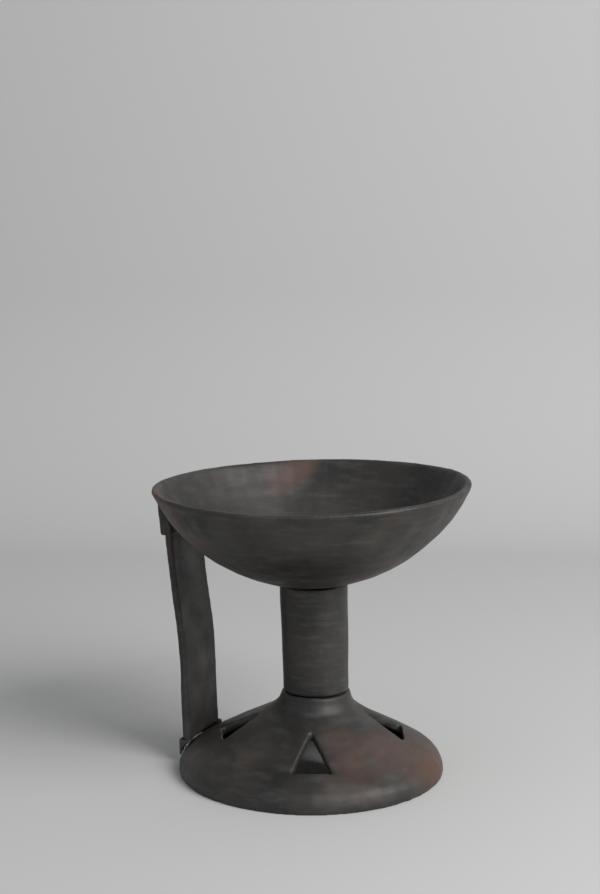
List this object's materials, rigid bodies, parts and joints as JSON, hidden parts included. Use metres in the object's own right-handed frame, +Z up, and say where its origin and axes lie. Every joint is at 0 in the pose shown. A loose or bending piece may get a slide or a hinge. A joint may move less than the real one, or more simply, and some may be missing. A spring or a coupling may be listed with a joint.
{
  "type": "fruit bowl",
  "caption": "Shallow earthenware bowl on a hollow stem and a flared foot with triangular windows, with one strap handle from foot to bowl.",
  "frame": {"origin": "on the table, at the middle of the whole bowl's width and depth", "axes": "+Z up; -Y towards the viewer of the picture, handle towards -X"},
  "size_m": [0.1999, 0.2, 0.1873],
  "materials": {
    "fired_clay": "burnished, satin"
  },
  "bodies": {
    "root": {"foot": "fired_clay", "stem": "fired_clay", "bowl": "fired_clay", "handle": "fired_clay", "stem_joint_coil": "fired_clay", "bowl_joint_coil": "fired_clay", "handle_foot_luting": "fired_clay", "handle_top_luting": "fired_clay"}
  },
  "joints": []
}
